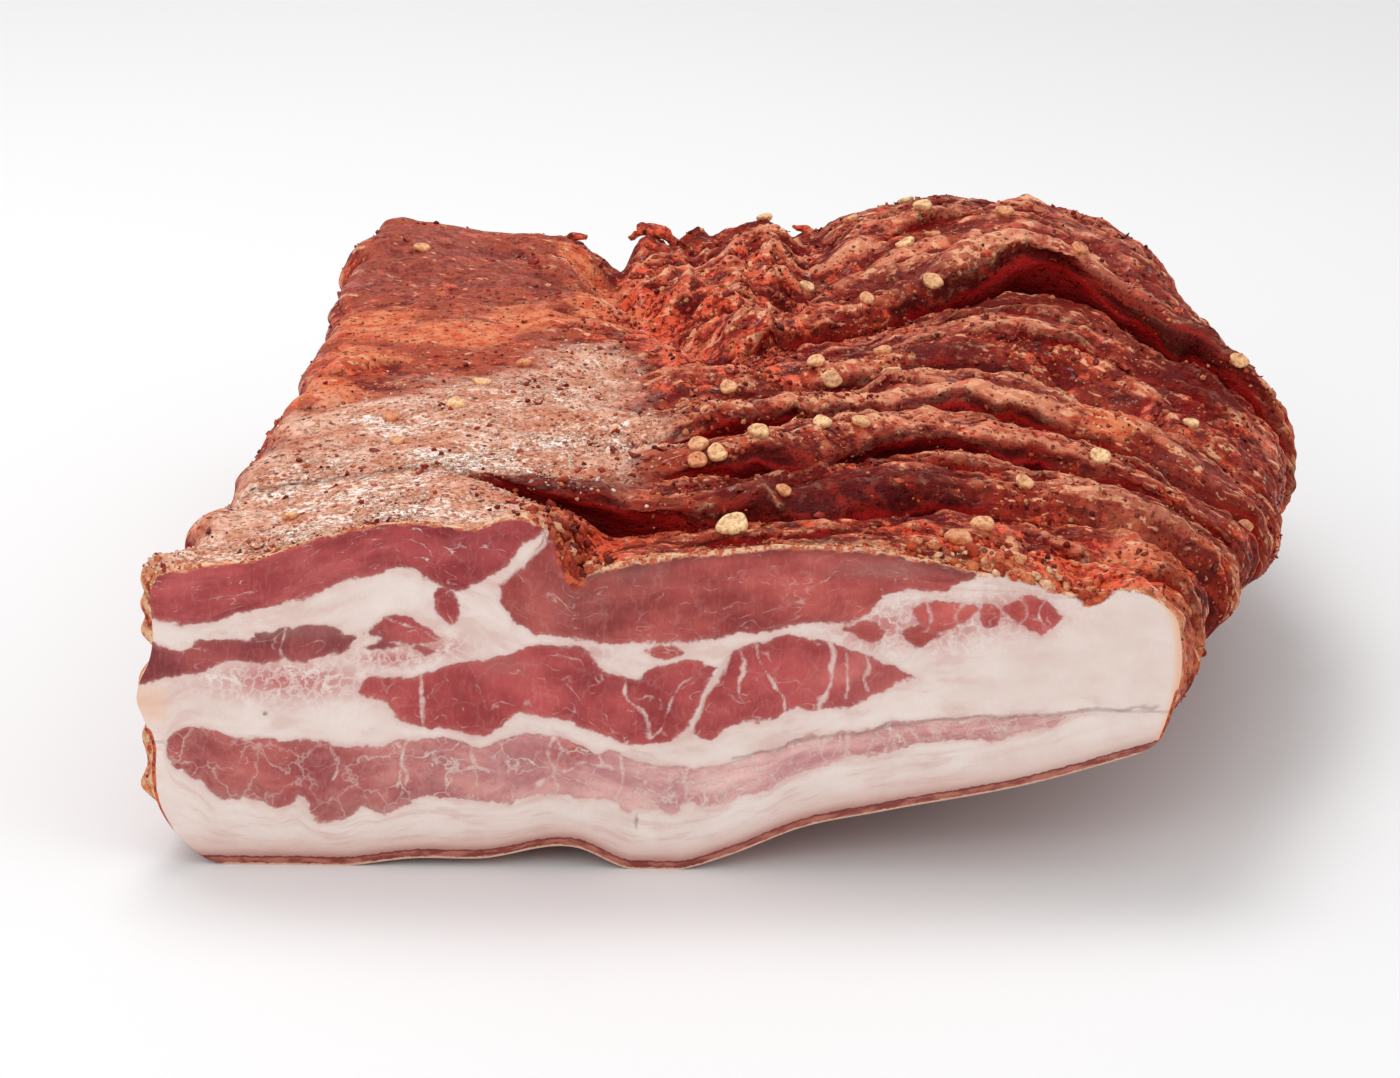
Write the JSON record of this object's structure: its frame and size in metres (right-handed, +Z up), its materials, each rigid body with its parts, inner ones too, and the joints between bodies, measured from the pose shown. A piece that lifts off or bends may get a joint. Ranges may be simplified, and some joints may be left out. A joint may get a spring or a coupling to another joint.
{
  "type": "half of a flat pancetta with a chilli crust",
  "caption": "Half of a flat cured pork belly, cut across: marbled cut face, pleated dark red chilli crust with seeds on top and sides, rind below.",
  "frame": {"origin": "centre of the bounding box's bottom, on the surface that the rind rests on", "axes": "+X along the cut face from its thick end to its thin end, +Y back from the cut face into the meat, +Z up from the rind"},
  "size_m": [0.2828, 0.31, 0.0862],
  "materials": {
    "chilli_crust": "dry, rough spice crust over dark cured meat, dull with a few oily spots",
    "cut_meat": "fresh knife cut through lean and fat, smooth and faintly moist",
    "rind": "tough tanned skin, finely pored",
    "chilli_seed": "pale straw seeds, waxy",
    "chilli_flake": "dry red chilli flakes and paste crumbs"
  },
  "bodies": {
    "root": {"pancetta": "chilli_crust"}
  },
  "joints": []
}
